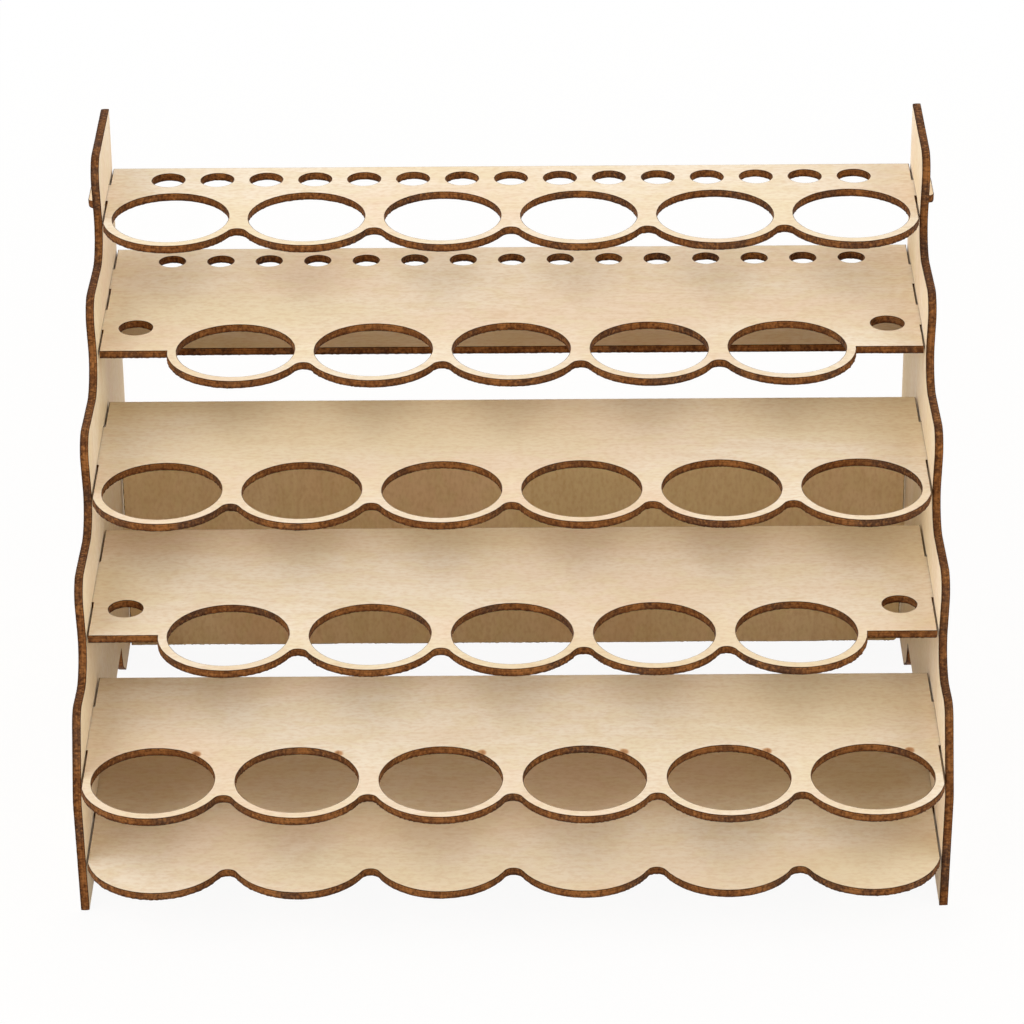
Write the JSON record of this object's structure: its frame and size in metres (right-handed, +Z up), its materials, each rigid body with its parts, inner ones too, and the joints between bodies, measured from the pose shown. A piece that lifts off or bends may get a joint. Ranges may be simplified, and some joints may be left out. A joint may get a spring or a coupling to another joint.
{
  "type": "workstation organizer",
  "caption": "Stepped plywood rack with tiers of ringed bottle holes, brush holes at the back, a scalloped base and stepped side panels.",
  "frame": {"origin": "on the floor, midway across and midway from front to back of the whole rack", "axes": "+Z up, front toward -Y, side panels at the two ends along X"},
  "size_m": [0.257, 0.201, 0.175],
  "materials": {
    "panel_plywood": "bare plywood, laser-cut edges",
    "shelf_plywood": "bare plywood, laser-cut edges",
    "back_plywood": "bare plywood, laser-cut edges"
  },
  "bodies": {
    "root": {"side_panel_left": "panel_plywood", "side_panel_right": "panel_plywood", "top_tier_shelf": "shelf_plywood", "second_tier_shelf": "shelf_plywood", "third_tier_shelf": "shelf_plywood", "fourth_tier_shelf": "shelf_plywood", "fifth_tier_shelf": "shelf_plywood", "base_shelf": "shelf_plywood", "brush_floor_shelf": "shelf_plywood", "back_board": "back_plywood"}
  },
  "joints": []
}
